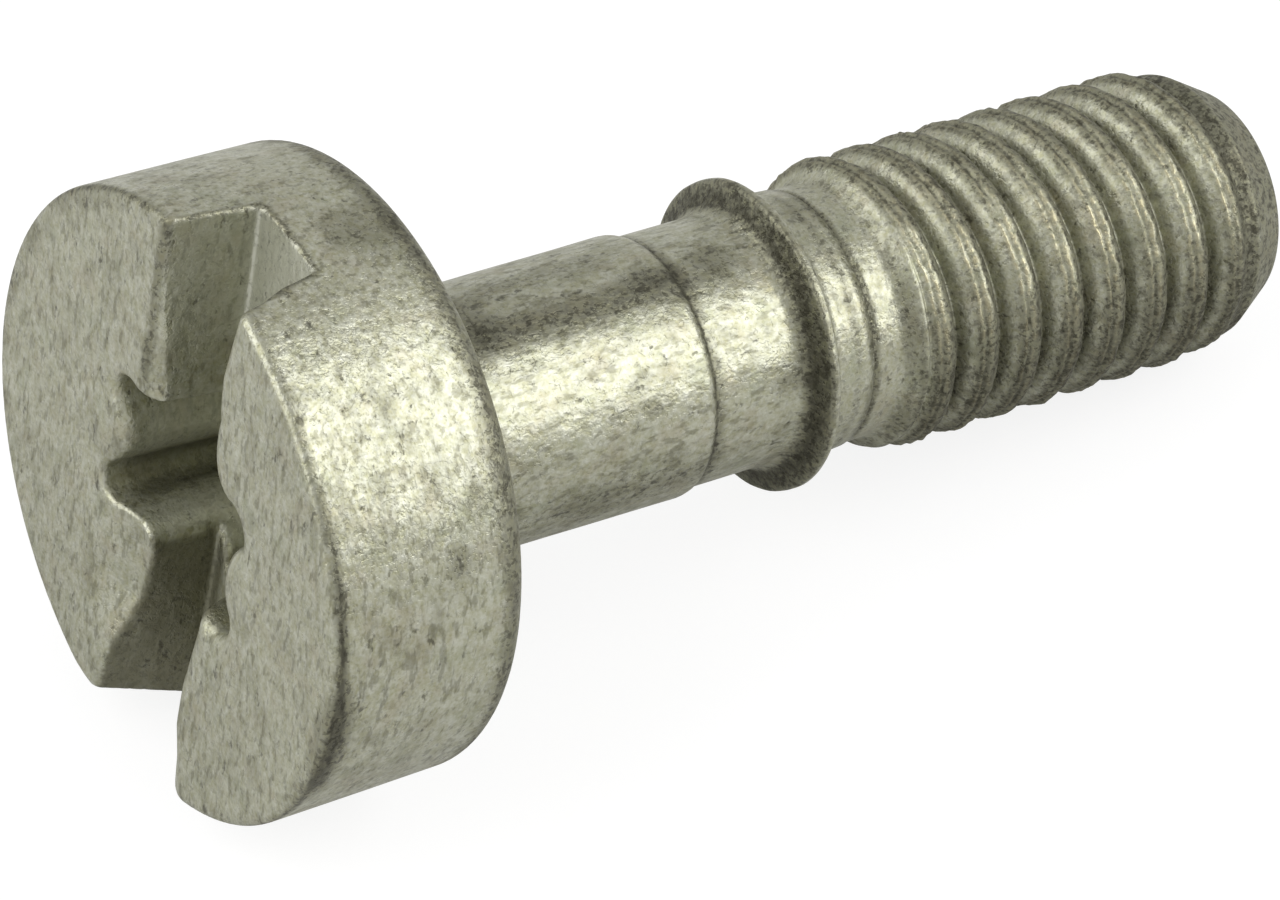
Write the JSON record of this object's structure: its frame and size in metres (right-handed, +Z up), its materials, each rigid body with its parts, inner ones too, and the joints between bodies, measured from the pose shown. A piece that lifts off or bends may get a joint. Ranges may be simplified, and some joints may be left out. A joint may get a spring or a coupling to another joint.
{
  "type": "star drive screw",
  "caption": "Captive machine screw: cheese head with a slot and a six-lobe star recess, plain shank, rolled collar, metric thread and chamfered tip.",
  "frame": {"origin": "centre of the lying screw's box, on the surface that it lies on", "axes": "+X along the lying screw towards its tip, which points down by the rest angle; +Z up"},
  "size_m": [0.0248, 0.012, 0.0123],
  "materials": {
    "zinc_steel": "satin zinc coating with fine dark speckle"
  },
  "bodies": {
    "root": {"screw": "zinc_steel"}
  },
  "joints": []
}
